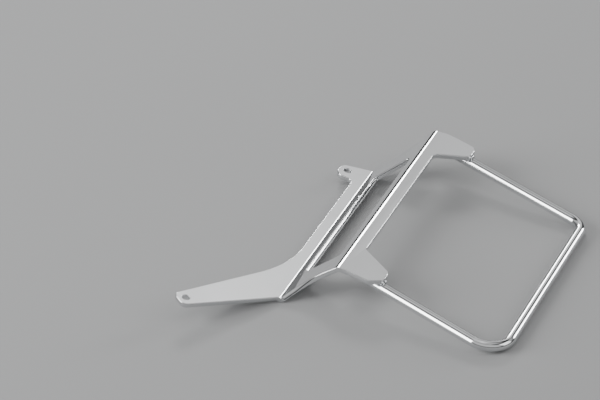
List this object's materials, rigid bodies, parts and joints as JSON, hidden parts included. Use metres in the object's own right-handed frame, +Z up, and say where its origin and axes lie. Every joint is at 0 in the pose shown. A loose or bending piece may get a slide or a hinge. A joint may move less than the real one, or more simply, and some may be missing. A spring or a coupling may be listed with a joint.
{
  "type": "pannier frame",
  "caption": "Motorcycle side-bag frame: a folded bracket plate with a windowed face, a bolt arm and a bolt tab, carrying a welded bent-tube hoop that keeps the bag off the wheel.",
  "frame": {"origin": "middle of the bounding box's bottom face, the part lying at rest on a flat surface", "axes": "+Z up from the surface; +Y along the folds, from the long bolt arm to the short bolt tab; +X from the mounting flange to the hoop's end bar"},
  "size_m": [0.3798, 0.4552, 0.0426],
  "materials": {
    "chrome_sheet": "mirror polished",
    "chrome_tube": "mirror polished",
    "chrome_weld": "bright plated weld bead"
  },
  "bodies": {
    "root": {"bracket_plate": "chrome_sheet", "hoop_tube": "chrome_tube", "near_leg_outer_weld": "chrome_weld", "near_leg_inner_weld": "chrome_weld", "far_leg_inner_weld": "chrome_weld", "far_leg_outer_weld": "chrome_weld"}
  },
  "joints": []
}
